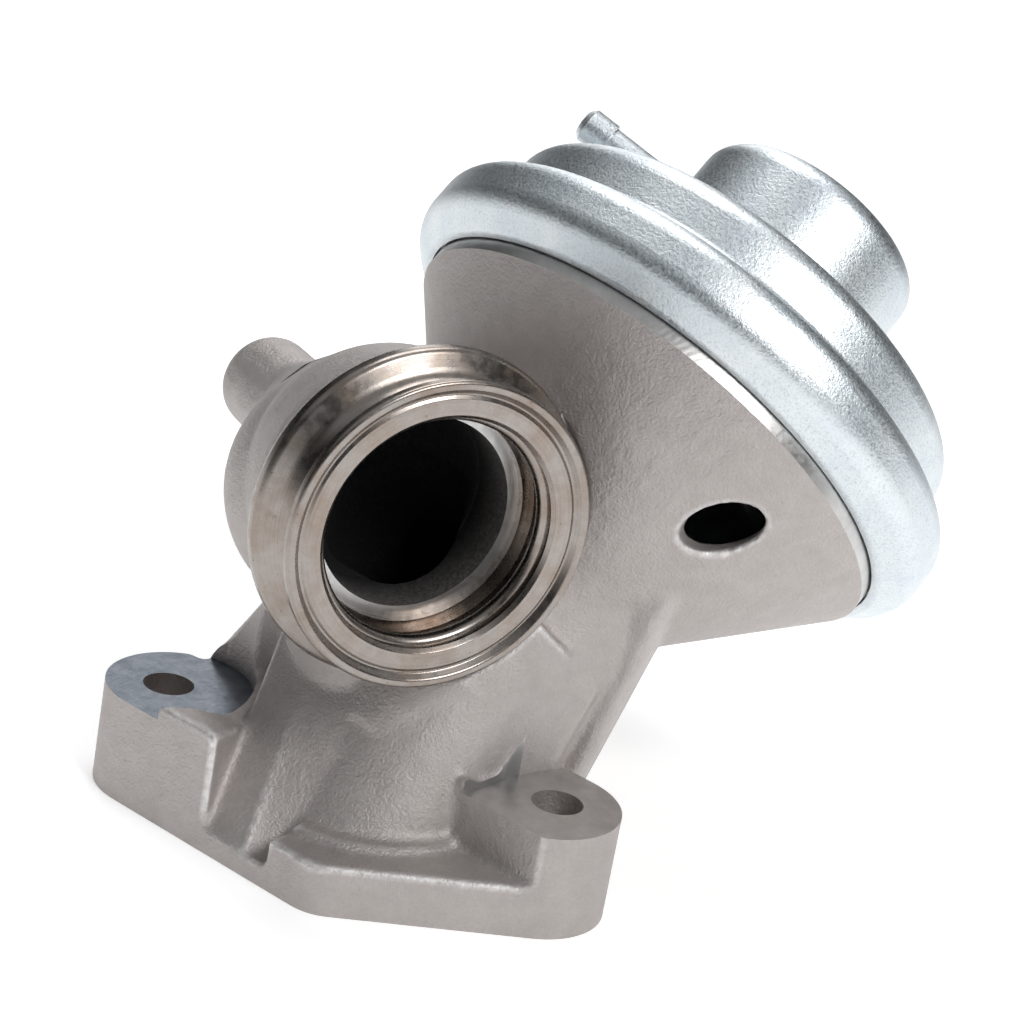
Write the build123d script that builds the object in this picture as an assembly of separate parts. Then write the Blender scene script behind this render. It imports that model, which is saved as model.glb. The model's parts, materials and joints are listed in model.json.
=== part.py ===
from build123d import *
import os
from math import cos, radians, sin, sqrt, tan

# Exhaust gas recirculation valve: a cast body on a two-bolt base, an inlet with a steel clamp collar,
# and a vacuum diaphragm actuator that lifts a poppet off its seat.
# Millimetres, Z up. The origin is on the mounting face, midway between the two bolt holes.

os.makedirs("parts", exist_ok=True)

# Base flange
BOLT_SPACING = 54.0
BOLT_HOLE_R = 3.35
LUG_R = 10.0
LUG_SHIFT_X = -1.5
LUG_SHIFT_Y = -0.9
LUG_HEIGHT = 14.0
PLATE_T = 6.8
NOSE_X = 3.5
NOSE_Y = 15.0
NOSE_R = 6.0
SPOTFACE_R = 11.2
SPOTFACE_REACH = 18.0
CUTTER_ARC = ((15.9, -6.0), (20.6, 4.6), (28.0, 13.6))
CUTTER_SWEEP = 45.0
FOOT_R = 15.0
FOOT_RISE = 0.8
PORT_X = 2.5
PORT_R = 9.0
PORT_DEPTH = 9.0
TUBE_R = 13.5
TUBE_TOP_R = 15.0
TUBE_TOP = 24.0
LUG_INNER = 15.5
LEFT_LUG_INNER = 14.0
LUG_INNER_Y = 5.0
LUG_CORNER_X = 29.0
LUG_CORNER_Y = 10.6
WAIST_FLARE = 2.0

# Actuator axis: a direction through the port's centre line
ACT_AZIMUTH = 65.0
ACT_ELEVATION = 43.0
ACT_CROSS_Z = 12.4

# Inlet axis: level, offset a little from the port's centre line
INLET_AZIMUTH = -45.0
INLET_X = 0.75
INLET_Y = -1.75
INLET_Z = 48.4
CHAMBER_R = 19.4
CHAMBER_FRONT = 2.0
CHAMBER_STRAIGHT = 1.0
CHAMBER_MID_R = 17.0
CHAMBER_MID = 10.0
CHAMBER_TAIL_R = 10.5
CHAMBER_TAIL = 23.0
CHAMBER_BACK = 31.0
GAS_R = 12.6
GAS_DEPTH = 4.0
CORE_R = 12.2
CORE_DEPTH = 8.0
DROP_X = -3.0
DROP_Y = 9.5
DROP_Z = 23.0
DROP_R = 8.5
THROAT_WALL = 3.5
THROAT_DROP = 6.0
CHAMBER_BALL_R = 16.5
CHAMBER_BALL_SIDE = -1.5
CHAMBER_BALL_DOWN = -3.0
CHAMBER_BALL_BACK = -10.0
BOSS_R = 6.5
BOSS_FOOT_R = 7.0
BOSS_END = 46.0
BOSS_DROP = 1.3
CHAMBER_FRONT_ROUND = 6.0
CHAMBER_MID_ROUND = 15.0
CHAMBER_TAIL_ROUND = 12.0
BOSS_EDGE = 2.0

# Gussets: left rib, the wedge beside it, the web behind the left lug, the right rib and the fill behind it
GUSSET_FOOT_Z = 2.8
GUSSET_MID_Z = 25.0
GUSSET_TOP = 39.0
LEFT_RIB_FOOT = ((-14, -14.5), (-7.2, -17.2), (-7.2, 14), (-14, 14))
LEFT_RIB_MID = ((-14, 3.8), (-8.2, 1.4), (-8.2, 14), (-14, 14))
WEDGE_FOOT = ((-7.5, -16.8), (-3.3, -14.4), (2, 0), (-7.5, 0))
WEDGE_MID = ((-8.5, 1.4), (1.3, -0.9), (8, 10), (-8.5, 10))
NOTCH = ((-14, -24), (-14, -8), (-7.2, -9), (-0.6, -9.5), (-3.8, -18.6), (-4.6, -24))
WEB_Y = 12.0
WEB_T = 5.0
WEB_OUTLINE = ((-26, PLATE_T), (-26, LUG_HEIGHT), (-14, 33), (-6, GUSSET_TOP), (0, 19), (0, PLATE_T))
RIB_FOOT_X = 21.2
RIB_FOOT_Y = 17.1
RIB_FOOT_Z = 4.0
RIB_TOP_X = 31.9
RIB_TOP_Y = 21.2
RIB_TOP_Z = 42.0
RIB_FOOT_T = 6.0
RIB_T = 5.4
RIB_DEPTH = 9.0
RIB_TOP_DEPTH = 12.0
RIB_ROUND = 2.0
FILL_FOOT = ((10, -6), (19, -3), (20.1, 6.3), (22, 20), (6, 20))
FILL_TOP = ((18, 10), (24.3, 14.4), (32.1, 18), (29, 26), (8, 26))

# Poppet and seat, stations measured along the actuator axis
SEAT_START = 5.0
SEAT_T = 3.5
SEAT_BORE_R = 6.2
STEM_BORE_R = 8.6
SEAT_WIDTH = 1.2
SEAT_GAP = 0.3
POPPET_T = 4.2
POPPET_RIM = 0.6
POPPET_HUB_WALL = 1.2
LIFT = 6.0
STEM_R = 4.0
STEM_FOOT_R = 2.5
STEM_EYE_R = 3.0
NUT_ACROSS_FLATS = 10.0
NUT_T = 3.2
STEM_TIP = 1.9
STEM_TIP_ROUND = 0.6
RIVET_R = 3.8
RIVET_T = 1.2
RIVET_ROUND = 0.8
CARRIER_START = 21.0
CARRIER_FLANGE_R = 12.0
CARRIER_FLANGE_T = 1.8
GASKET_T = 0.6
BUSH_R = 6.2
BUSH_DROP = 1.4
SEAL_R = 7.4
SEAL_T = 2.4
RETAINER_T = 0.8
RETAINER_PLAY = 0.6
GASKET_PLAY = 0.1
DEFLECTOR_H = 2.4
DEFLECTOR_CLEARANCE = 0.6
DEFLECTOR_SHEET = 0.8
FIT_CLEARANCE = 0.04
GAP = 0.3

# Funnel and rim
FUNNEL_FLOOR = 33.0
NECK_R = 13.0
NECK_START = 1.0
NECK_FOOT_R = 9.0
NECK_FULL = 12.0
NECK_BLEND = 14.0
FUNNEL_APEX = 13.4
FUNNEL_HALF_ANGLE = 40.6
FUNNEL_WALL = 3.6
RIM_START = 55.6
RIM_R = 36.3
RIM_SHOULDER_R = 38.3
RIM_SHOULDER = 58.9
RIM_TOP = 63.5
HOLLOW_R = 32.0
VENT_X = 37.7
VENT_Y = 13.2
VENT_Z = 50.2
VENT_TILT = 30.0
VENT_HALF_W = 5.3
VENT_HALF_H = 3.3
VENT_REACH = 9.0

# Actuator cover
SHEET_T = 1.2
LIP_START = 57.4
LIP_INNER_R = 36.6
LIP_R = 37.4
LIP_ROUND = 1.5
BEAD_R = 41.3
BEAD_START = 60.6
BEAD_END = 67.2
BEAD_LOW_ROUND = 3.6
BEAD_HIGH_ROUND = 2.9
TIER_START = 69.3
TIER_R = 35.5
TIER_TOP = 77.5
TIER_FOOT_ROUND = 1.0
TIER_TOP_ROUND = 3.2
HAT_R = 17.0
HAT_TOP = 96.5
HAT_FOOT_ROUND = 1.5
HAT_TOP_ROUND = 3.4

# Vacuum pipe
NIPPLE_BELOW_TOP = 9.5
NIPPLE_ANGLE = -145.0
NIPPLE_LENGTH = 16.5
NIPPLE_R = 2.1
NIPPLE_BORE_R = 1.2
BRAZE_R = 3.0
BRAZE_T = 1.3
BRAZE_PLAY = 0.1
BARB_R = 2.5
BARB_LENGTH = 4.5
BARB_NOSE = 0.8

# Diaphragm stack
DIAPHRAGM_T = 1.4
DIAPHRAGM_EDGE_T = 2.2
EDGE_INSET = 0.8
FLEX_CLEARANCE = 1.2
PISTON_R = 23.0
PISTON_STATION = 57.0
PLATE_SHEET = 1.2
PLATE_RIM = 3.4
PLATE_ROUND = 1.6
CUP_R = 20.5
SPRING_WIRE = 2.0
SPRING_TURNS = 5.0
SPRING_SEAT_T = 1.0
SPRING_SEAT_EDGE = 0.6
SPRING_SEAT_CLEARANCE = 0.5
SPRING_SEAT_PLAY = 1.4
SPRING_SEAT_LIP = 3.0

# Inlet collar
SNOUT_R = 15.8
SNOUT_FRONT = 4.0
COLLAR_STEP = 0.6
COLLAR_BEAD_R = 21.7
COLLAR_BEAD_MID = 4.4
COLLAR_BEAD_W = 3.4
COLLAR_BEAD_ROUND = 1.5
COLLAR_NECK_R = 18.2
COLLAR_FLARE = 0.6
COLLAR_FLARE_ROUND = 1.6
FRONT_FACE = 11.6
FRONT_R = 20.1
MOUTH_R = 15.1
MOUTH_EDGE = 0.5
FRONT_RING_T = 1.4
RING_BACK_SLOPE = 0.5
RING_LIP_W = 1.1
RING_LIP_RISE = 0.5
RING_LIP_ROUND = 0.5
GROOVE_W = 1.3
GROOVE_FLANK = 0.8
GROOVE_DEPTH = 0.4
SEAL_RING_W = 1.7
SEAL_RING_H = 2.4
SEAL_STEP_W = 0.7
SEAL_STEP_H = 1.2
LIP_RING_W = 1.6
LIP_RING_H = 2.2
LIP_RING_ROUND = 1.0
CLAMP_ROOM = 1.0

act_x = cos(radians(ACT_ELEVATION)) * cos(radians(ACT_AZIMUTH))
act_y = cos(radians(ACT_ELEVATION)) * sin(radians(ACT_AZIMUTH))
act_z = sin(radians(ACT_ELEVATION))
actuator = Plane(
    origin=(PORT_X, 0, ACT_CROSS_Z),
    x_dir=(sin(radians(ACT_AZIMUTH)), -cos(radians(ACT_AZIMUTH)), 0),
    z_dir=(act_x, act_y, act_z),
)
inlet = Plane(
    origin=(INLET_X, INLET_Y, INLET_Z),
    x_dir=(-sin(radians(INLET_AZIMUTH)), cos(radians(INLET_AZIMUTH)), 0),
    z_dir=(cos(radians(INLET_AZIMUTH)), sin(radians(INLET_AZIMUTH)), 0),
)
nipple_plane = Plane(
    origin=actuator.origin + actuator.z_dir * (HAT_TOP - NIPPLE_BELOW_TOP),
    x_dir=actuator.z_dir,
    z_dir=actuator.x_dir * cos(radians(NIPPLE_ANGLE)) + actuator.y_dir * sin(radians(NIPPLE_ANGLE)),
)

# Stations that follow from the sizes above
seat_top = SEAT_START + SEAT_T
poppet_start = seat_top - SEAT_WIDTH
poppet_shoulder = poppet_start + POPPET_T
plate_start = PISTON_STATION - PLATE_SHEET
nut_start = PISTON_STATION + DIAPHRAGM_T + PLATE_SHEET
stem_end = nut_start + NUT_T + STEM_TIP
flange_seat = FUNNEL_FLOOR + GASKET_T
bush_top = flange_seat + CARRIER_FLANGE_T - BUSH_DROP
seal_top = bush_top + SEAL_T
braze_start = HAT_R + BRAZE_PLAY
seat_rim = HAT_R - HAT_TOP_ROUND - SPRING_SEAT_CLEARANCE
spring_r = seat_rim - SPRING_SEAT_EDGE - SPRING_WIRE / 2
ring_back = FRONT_FACE - FRONT_RING_T


def turned(frame, points, rounds=()):
    """A solid turned about the frame's axis from (radius, station) points, with (point, radius) rounds."""
    profile = make_face(Polyline(*points, close=True))
    for spot, radius in rounds:
        corner = profile.vertices().sort_by_distance((spot[0], spot[1], 0))[0]
        profile = fillet(corner, radius)
    return frame.location * revolve(Plane.XZ * profile, Axis.Z)


def rod(frame, radius, start, end):
    """A round bar along the frame's axis between two stations."""
    return frame.location * Pos(0, 0, start) * extrude(Circle(radius), end - start)


def sleeve(frame, outer, inner, start, end):
    return rod(frame, outer, start, end) - rod(frame, inner, start - 1, end + 1)


def save(shape, name):
    """Writes one sub-part as its own STEP file."""
    solids = shape.solids()
    export_step(solids[0] if len(solids) == 1 else Compound(children=list(solids)), f"parts/{name}.step")


def flange_outline():
    """Hull of the two bolt lugs and the two rounded noses of the base."""
    circles = []
    for side in (1, -1):
        circles.append(Pos(side * (BOLT_SPACING / 2 + LUG_SHIFT_X), side * LUG_SHIFT_Y) * Circle(LUG_R))
        circles.append(Pos(side * NOSE_X, -side * NOSE_Y) * Circle(NOSE_R))
    edges = [edge for circle in circles for edge in circle.edges()]
    return make_hull(edges)


def funnel_radius(station):
    return (station - FUNNEL_APEX) * tan(radians(FUNNEL_HALF_ANGLE))


def valve_body():
    """The casting: base, tube, chamber, neck and funnel, with its machined faces and passages cut."""
    outline = flange_outline()
    neck_top = FUNNEL_APEX + NECK_R / tan(radians(FUNNEL_HALF_ANGLE))
    waist = make_face(
        Polyline(
            (-LEFT_LUG_INNER, -BOLT_SPACING / 2),
            (LUG_CORNER_X + WAIST_FLARE, -BOLT_SPACING / 2),
            (LUG_CORNER_X, -LUG_CORNER_Y),
            (LUG_INNER, -LUG_INNER_Y),
            (LUG_INNER, BOLT_SPACING / 2),
            (-LUG_CORNER_X - WAIST_FLARE, BOLT_SPACING / 2),
            (-LUG_CORNER_X, LUG_CORNER_Y),
            (-LEFT_LUG_INNER, LUG_INNER_Y),
            close=True,
        )
    )
    notch = Pos(0, 0, GUSSET_FOOT_Z) * extrude(make_face(Polyline(*NOTCH, close=True)), LUG_HEIGHT)
    body = extrude(outline, LUG_HEIGHT) - Pos(0, 0, PLATE_T) * extrude(waist, LUG_HEIGHT)
    body += Pos(PORT_X, 0, 0) * rod(Plane.XY, FOOT_R, 0, PLATE_T + FOOT_RISE)
    body -= notch
    tube_low = Pos(PORT_X, 0, PLATE_T - 1) * Circle(TUBE_R)
    tube_high = actuator.offset(TUBE_TOP) * Circle(TUBE_TOP_R)
    body += loft([tube_low, tube_high])
    body += turned(
        actuator,
        [
            (0, NECK_START),
            (NECK_FOOT_R, NECK_START),
            (NECK_R, NECK_FULL),
            (NECK_R, neck_top),
            (RIM_R, RIM_START),
            (RIM_R, RIM_SHOULDER),
            (RIM_SHOULDER_R, RIM_SHOULDER),
            (RIM_SHOULDER_R, RIM_TOP),
            (0, RIM_TOP),
        ],
        [((NECK_R, neck_top), NECK_BLEND)],
    )
    body += turned(
        inlet,
        [
            (0, SNOUT_FRONT),
            (SNOUT_R, SNOUT_FRONT),
            (SNOUT_R, CHAMBER_FRONT),
            (CHAMBER_R, CHAMBER_FRONT),
            (CHAMBER_R, -CHAMBER_STRAIGHT),
            (CHAMBER_MID_R, -CHAMBER_MID),
            (CHAMBER_TAIL_R, -CHAMBER_TAIL),
            (BOSS_R, -CHAMBER_BACK),
            (0, -CHAMBER_BACK),
        ],
        [
            ((CHAMBER_R, -CHAMBER_STRAIGHT), CHAMBER_FRONT_ROUND),
            ((CHAMBER_MID_R, -CHAMBER_MID), CHAMBER_MID_ROUND),
            ((CHAMBER_TAIL_R, -CHAMBER_TAIL), CHAMBER_TAIL_ROUND),
        ],
    )
    boss_foot = (BOSS_FOOT_R, -CHAMBER_TAIL)
    boss_end = (BOSS_R, -BOSS_END)
    boss_profile = [(0, -CHAMBER_TAIL), boss_foot, boss_end, (0, -BOSS_END)]
    body += Pos(0, 0, -BOSS_DROP) * turned(inlet, boss_profile, [(boss_end, BOSS_EDGE)])
    ball = Pos(CHAMBER_BALL_SIDE, CHAMBER_BALL_DOWN, CHAMBER_BALL_BACK) * Sphere(CHAMBER_BALL_R)
    body += inlet.location * ball
    body += Pos(DROP_X, DROP_Y, 0) * rod(Plane.XY, DROP_R + THROAT_WALL, PLATE_T, INLET_Z - THROAT_DROP)
    for rib in ribs():
        body += rib
    for cut in cuts():
        body -= cut
    snout = sleeve(inlet, SNOUT_R, GAS_R, CHAMBER_FRONT - 1, SNOUT_FRONT)
    return body + snout


def gusset(foot, foot_z, top, top_z):
    """A straight-sided solid between two outlines with as many corners at two heights."""
    low = Plane.XY.offset(foot_z) * make_face(Polyline(*foot, close=True))
    high = Plane.XY.offset(top_z) * make_face(Polyline(*top, close=True))
    return loft([low, high], ruled=True)


def ribs():
    """Gussets between the base lugs, the tube, the chamber and the funnel."""
    left_mid = make_face(Polyline(*LEFT_RIB_MID, close=True))
    left = gusset(LEFT_RIB_FOOT, GUSSET_FOOT_Z, LEFT_RIB_MID, GUSSET_MID_Z)
    left += Plane.XY.offset(GUSSET_MID_Z) * extrude(left_mid, GUSSET_TOP - GUSSET_MID_Z)
    wedge = gusset(WEDGE_FOOT, GUSSET_FOOT_Z, WEDGE_MID, GUSSET_MID_Z)
    web = Pos(0, WEB_Y, 0) * extrude(Plane.XZ * make_face(Polyline(*WEB_OUTLINE, close=True)), WEB_T)
    fill = gusset(FILL_FOOT, RIB_FOOT_Z, FILL_TOP, RIB_TOP_Z)
    rib_low = Pos(RIB_FOOT_X, RIB_FOOT_Y, RIB_FOOT_Z) * RectangleRounded(RIB_FOOT_T, RIB_DEPTH, RIB_ROUND)
    rib_high = Pos(RIB_TOP_X, RIB_TOP_Y, RIB_TOP_Z) * RectangleRounded(RIB_T, RIB_TOP_DEPTH, RIB_ROUND)
    rib = loft([rib_low, rib_high], ruled=True)
    return [left, wedge, web, fill, rib]


def cuts():
    """Holes, machined lug tops, gas passages, stem bore, funnel hollow, breather hole and clamp room."""
    tools = [Pos(PORT_X, 0, -1) * rod(Plane.XY, PORT_R, 0, PORT_DEPTH + 1)]
    for side in (1, -1):
        tools.append(Pos(side * BOLT_SPACING / 2, 0, 0) * rod(Plane.XY, BOLT_HOLE_R, -1, LUG_HEIGHT + 1))
    spot = Pos(-BOLT_SPACING / 2, 0, 0)
    tools.append(spot * rod(Plane.XY, SPOTFACE_R, LUG_HEIGHT, LUG_HEIGHT + SPOTFACE_REACH))
    low, _, high = CUTTER_ARC
    far = Polyline(high, (CUTTER_SWEEP, high[1]), (CUTTER_SWEEP, -CUTTER_SWEEP), (low[0], -CUTTER_SWEEP), low)
    face = make_face(ThreePointArc(*CUTTER_ARC).edges() + far.edges())
    tools.append(Pos(0, 0, LUG_HEIGHT) * extrude(face, SPOTFACE_REACH))
    tools.append(rod(actuator, SEAT_BORE_R, -SEAT_START, SEAT_START + 1))
    tools.append(rod(actuator, STEM_BORE_R, SEAT_START, FUNNEL_FLOOR + 1))
    tools.append(rod(inlet, GAS_R, -GAS_DEPTH, SNOUT_FRONT + 1))
    tools.append(rod(inlet, CORE_R, -CORE_DEPTH, 0))
    tools.append(inlet.location * Pos(0, 0, -CORE_DEPTH) * Sphere(CORE_R))
    tools.append(Pos(DROP_X, DROP_Y, DROP_Z) * rod(Plane.XY, DROP_R, 0, INLET_Z - DROP_Z))
    tools.append(Pos(DROP_X, DROP_Y, DROP_Z) * Sphere(DROP_R))
    wall = FUNNEL_WALL / cos(radians(FUNNEL_HALF_ANGLE))
    hollow = [
        (0, FUNNEL_FLOOR),
        (funnel_radius(FUNNEL_FLOOR) - wall + 1, FUNNEL_FLOOR),
        (HOLLOW_R, FUNNEL_APEX + (HOLLOW_R + wall) / tan(radians(FUNNEL_HALF_ANGLE))),
        (HOLLOW_R, RIM_TOP + 1),
        (0, RIM_TOP + 1),
    ]
    tools.append(turned(actuator, hollow))
    tools.append(vent_hole())
    tools.append(rod(inlet, COLLAR_BEAD_R + CLAMP_ROOM, CHAMBER_FRONT, FRONT_FACE + FRONT_R))
    return tools


def vent_hole():
    """An oval breather hole cored through the funnel wall."""
    along = (cos(radians(VENT_TILT)), 0, sin(radians(VENT_TILT)))
    spot = Plane(origin=(VENT_X, VENT_Y, VENT_Z), x_dir=along, z_dir=(0, 1, 0))
    return spot.location * extrude(Ellipse(VENT_HALF_W, VENT_HALF_H), VENT_REACH, both=True)


def cover():
    """Drawn steel can: crimped lip, rolled bead, spring hat and the hole for the vacuum pipe."""
    outer = [
        (LIP_INNER_R, LIP_START),
        (LIP_R, LIP_START),
        (BEAD_R, BEAD_START),
        (BEAD_R, BEAD_END),
        (TIER_R, TIER_START),
        (TIER_R, TIER_TOP),
        (HAT_R, TIER_TOP),
        (HAT_R, HAT_TOP),
        (0, HAT_TOP),
    ]
    inner = [
        (0, HAT_TOP - SHEET_T),
        (HAT_R - SHEET_T, HAT_TOP - SHEET_T),
        (HAT_R - SHEET_T, TIER_TOP - SHEET_T),
        (TIER_R - SHEET_T, TIER_TOP - SHEET_T),
        (TIER_R - SHEET_T, TIER_START - SHEET_T),
        (BEAD_R - SHEET_T, BEAD_END - SHEET_T),
        (BEAD_R - SHEET_T, BEAD_START),
        (RIM_SHOULDER_R, RIM_SHOULDER - GAP),
        (LIP_INNER_R, RIM_SHOULDER - GAP),
    ]
    rounds = [
        ((LIP_R, LIP_START), LIP_ROUND),
        ((BEAD_R, BEAD_START), BEAD_LOW_ROUND),
        ((BEAD_R, BEAD_END), BEAD_HIGH_ROUND),
        ((TIER_R, TIER_START), TIER_FOOT_ROUND),
        ((TIER_R, TIER_TOP), TIER_TOP_ROUND),
        ((HAT_R, TIER_TOP), HAT_FOOT_ROUND),
        ((HAT_R, HAT_TOP), HAT_TOP_ROUND),
        ((HAT_R - SHEET_T, HAT_TOP - SHEET_T), HAT_TOP_ROUND - SHEET_T),
        ((HAT_R - SHEET_T, TIER_TOP - SHEET_T), HAT_FOOT_ROUND + SHEET_T),
        ((TIER_R - SHEET_T, TIER_TOP - SHEET_T), TIER_TOP_ROUND - SHEET_T),
        ((TIER_R - SHEET_T, TIER_START - SHEET_T), TIER_FOOT_ROUND + SHEET_T),
        ((BEAD_R - SHEET_T, BEAD_END - SHEET_T), BEAD_HIGH_ROUND - SHEET_T),
        ((BEAD_R - SHEET_T, BEAD_START), BEAD_LOW_ROUND - SHEET_T),
    ]
    return turned(actuator, outer + inner, rounds) - rod(nipple_plane, NIPPLE_R, 0, 2 * HAT_R)


def nipple():
    """Vacuum pipe brazed into the hat, with a hose barb at its tip."""
    tip = HAT_R + NIPPLE_LENGTH
    return turned(
        nipple_plane,
        [
            (NIPPLE_BORE_R, HAT_R - SHEET_T),
            (NIPPLE_R, HAT_R - SHEET_T),
            (NIPPLE_R, braze_start),
            (BRAZE_R, braze_start),
            (NIPPLE_R, braze_start + BRAZE_T),
            (NIPPLE_R, tip - BARB_LENGTH),
            (BARB_R, tip - BARB_LENGTH),
            (BARB_R, tip - BARB_NOSE),
            (BARB_R - BARB_NOSE, tip),
            (NIPPLE_BORE_R, tip),
        ],
    )


def diaphragm():
    """Fabric-backed rubber: a clamped edge, a coned wall that flexes and a flat centre between the plates."""
    top = PISTON_STATION + DIAPHRAGM_T
    flex = PISTON_R + FLEX_CLEARANCE
    edge_r = RIM_SHOULDER_R - EDGE_INSET
    return turned(
        actuator,
        [
            (STEM_EYE_R, PISTON_STATION),
            (flex, PISTON_STATION),
            (HOLLOW_R - EDGE_INSET, RIM_TOP - DIAPHRAGM_T / 2),
            (HOLLOW_R, RIM_TOP),
            (edge_r, RIM_TOP),
            (edge_r, RIM_TOP + DIAPHRAGM_T),
            (HOLLOW_R + DIAPHRAGM_EDGE_T, RIM_TOP + DIAPHRAGM_EDGE_T),
            (HOLLOW_R, RIM_TOP + DIAPHRAGM_EDGE_T),
            (flex, top),
            (STEM_EYE_R, top),
        ],
    )


def spring():
    """Compression spring between the upper diaphragm cup and the hat."""
    start = nut_start + SPRING_WIRE / 2
    height = HAT_TOP - SHEET_T - SPRING_SEAT_T - SPRING_WIRE / 2 - start
    path = Helix(height / SPRING_TURNS, height, spring_r)
    wire = Plane(origin=path @ 0, z_dir=path % 0) * Circle(SPRING_WIRE / 2)
    return actuator.location * Pos(0, 0, start) * sweep(wire, path=path, is_frenet=True)


def seat_ring():
    """Hardened ring pressed against its shoulder, with a 45 degree seat."""
    return turned(
        actuator,
        [
            (SEAT_BORE_R, SEAT_START),
            (STEM_BORE_R, SEAT_START),
            (STEM_BORE_R, seat_top),
            (SEAT_BORE_R + SEAT_WIDTH, seat_top),
            (SEAT_BORE_R, seat_top - SEAT_WIDTH),
        ],
    )


def valve_poppet():
    """A disc with a coned face and a coned back, held on the foot of the stem."""
    edge = SEAT_BORE_R + SEAT_WIDTH
    return turned(
        actuator,
        [
            (STEM_FOOT_R, poppet_start),
            (SEAT_BORE_R - SEAT_GAP, poppet_start),
            (edge - SEAT_GAP, seat_top),
            (edge, seat_top + POPPET_RIM),
            (STEM_R + POPPET_HUB_WALL, poppet_shoulder),
            (STEM_FOOT_R, poppet_shoulder),
        ],
    )


def valve_stem():
    """Riveted foot under the poppet, ground shank, and a narrower end through the diaphragm plates."""
    return turned(
        actuator,
        [
            (0, poppet_start - RIVET_T),
            (RIVET_R, poppet_start - RIVET_T),
            (RIVET_R, poppet_start),
            (STEM_FOOT_R, poppet_start),
            (STEM_FOOT_R, poppet_shoulder),
            (STEM_R, poppet_shoulder),
            (STEM_R, plate_start),
            (STEM_EYE_R, plate_start),
            (STEM_EYE_R, stem_end),
            (0, stem_end),
        ],
        [((RIVET_R, poppet_start - RIVET_T), RIVET_ROUND), ((STEM_EYE_R, stem_end), STEM_TIP_ROUND)],
    )


def guide_carrier():
    """Turned plug pressed into the stem bore, with a flange on the funnel floor and a seal cup on top."""
    return turned(
        actuator,
        [
            (BUSH_R, CARRIER_START),
            (STEM_BORE_R, CARRIER_START),
            (STEM_BORE_R, flange_seat),
            (CARRIER_FLANGE_R, flange_seat),
            (CARRIER_FLANGE_R, flange_seat + CARRIER_FLANGE_T),
            (STEM_BORE_R, flange_seat + CARRIER_FLANGE_T),
            (STEM_BORE_R, seal_top + RETAINER_T),
            (SEAL_R, seal_top + RETAINER_T),
            (SEAL_R, bush_top),
            (BUSH_R, bush_top),
        ],
    )


def soot_deflector():
    """Pressed cup under the carrier that keeps soot off the bush."""
    low = CARRIER_START - DEFLECTOR_H
    rim = STEM_BORE_R - GAP
    return turned(
        actuator,
        [
            (STEM_R + DEFLECTOR_CLEARANCE, low),
            (rim, low),
            (rim, CARRIER_START),
            (rim - DEFLECTOR_SHEET, CARRIER_START),
            (rim - DEFLECTOR_SHEET, low + DEFLECTOR_SHEET),
            (STEM_R + DEFLECTOR_CLEARANCE, low + DEFLECTOR_SHEET),
        ],
    )


def lower_plate():
    """Dished plate under the diaphragm, with a turned-down rim."""
    return turned(
        actuator,
        [
            (STEM_EYE_R, plate_start),
            (PISTON_R - PLATE_SHEET, plate_start),
            (PISTON_R - PLATE_SHEET, plate_start - PLATE_RIM),
            (PISTON_R, plate_start - PLATE_RIM),
            (PISTON_R, PISTON_STATION),
            (STEM_EYE_R, PISTON_STATION),
        ],
        [
            ((PISTON_R, PISTON_STATION), PLATE_ROUND),
            ((PISTON_R - PLATE_SHEET, plate_start), PLATE_ROUND - PLATE_SHEET),
        ],
    )


def upper_cup():
    """Deep cup over the diaphragm. Its rim meets the cover just past full lift."""
    low = PISTON_STATION + DIAPHRAGM_T
    high = TIER_TOP - SHEET_T - LIFT - GAP
    return turned(
        actuator,
        [
            (STEM_EYE_R, low),
            (CUP_R, low),
            (CUP_R, high),
            (CUP_R - PLATE_SHEET, high),
            (CUP_R - PLATE_SHEET, nut_start),
            (STEM_EYE_R, nut_start),
        ],
        [((CUP_R, low), PLATE_ROUND), ((CUP_R - PLATE_SHEET, nut_start), PLATE_ROUND - PLATE_SHEET)],
    )


def stem_nut():
    """Hexagon nut over the diaphragm plates."""
    hexagon = RegularPolygon(NUT_ACROSS_FLATS / sqrt(3), 6) - Circle(STEM_EYE_R)
    return actuator.location * Pos(0, 0, nut_start) * extrude(hexagon, NUT_T)


def spring_seat():
    """Pressed washer in the top of the hat, with a lip inside the last coil."""
    top = HAT_TOP - SHEET_T
    lip = spring_r - SPRING_WIRE / 2 - SPRING_SEAT_PLAY
    return turned(
        actuator,
        [
            (lip - SPRING_SEAT_T, top),
            (seat_rim, top),
            (seat_rim, top - SPRING_SEAT_T),
            (lip, top - SPRING_SEAT_T),
            (lip, top - SPRING_SEAT_LIP),
            (lip - SPRING_SEAT_T, top - SPRING_SEAT_LIP),
        ],
    )


def inlet_collar():
    """Turned steel collar over the cast snout: a thin back flange, the round bead and the waisted neck."""
    bead_back = COLLAR_BEAD_MID - COLLAR_BEAD_W / 2
    bead_front = COLLAR_BEAD_MID + COLLAR_BEAD_W / 2
    return turned(
        inlet,
        [
            (SNOUT_R, CHAMBER_FRONT),
            (CHAMBER_R - COLLAR_STEP, CHAMBER_FRONT),
            (CHAMBER_R - COLLAR_STEP, bead_back),
            (COLLAR_BEAD_R, bead_back),
            (COLLAR_BEAD_R, bead_front),
            (COLLAR_NECK_R, bead_front + COLLAR_FLARE),
            (COLLAR_NECK_R, ring_back),
            (SNOUT_R, ring_back),
        ],
        [
            ((COLLAR_BEAD_R, bead_back), COLLAR_BEAD_ROUND),
            ((COLLAR_BEAD_R, bead_front), COLLAR_BEAD_ROUND),
            ((COLLAR_NECK_R, bead_front + COLLAR_FLARE), COLLAR_FLARE_ROUND),
        ],
    )


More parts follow.
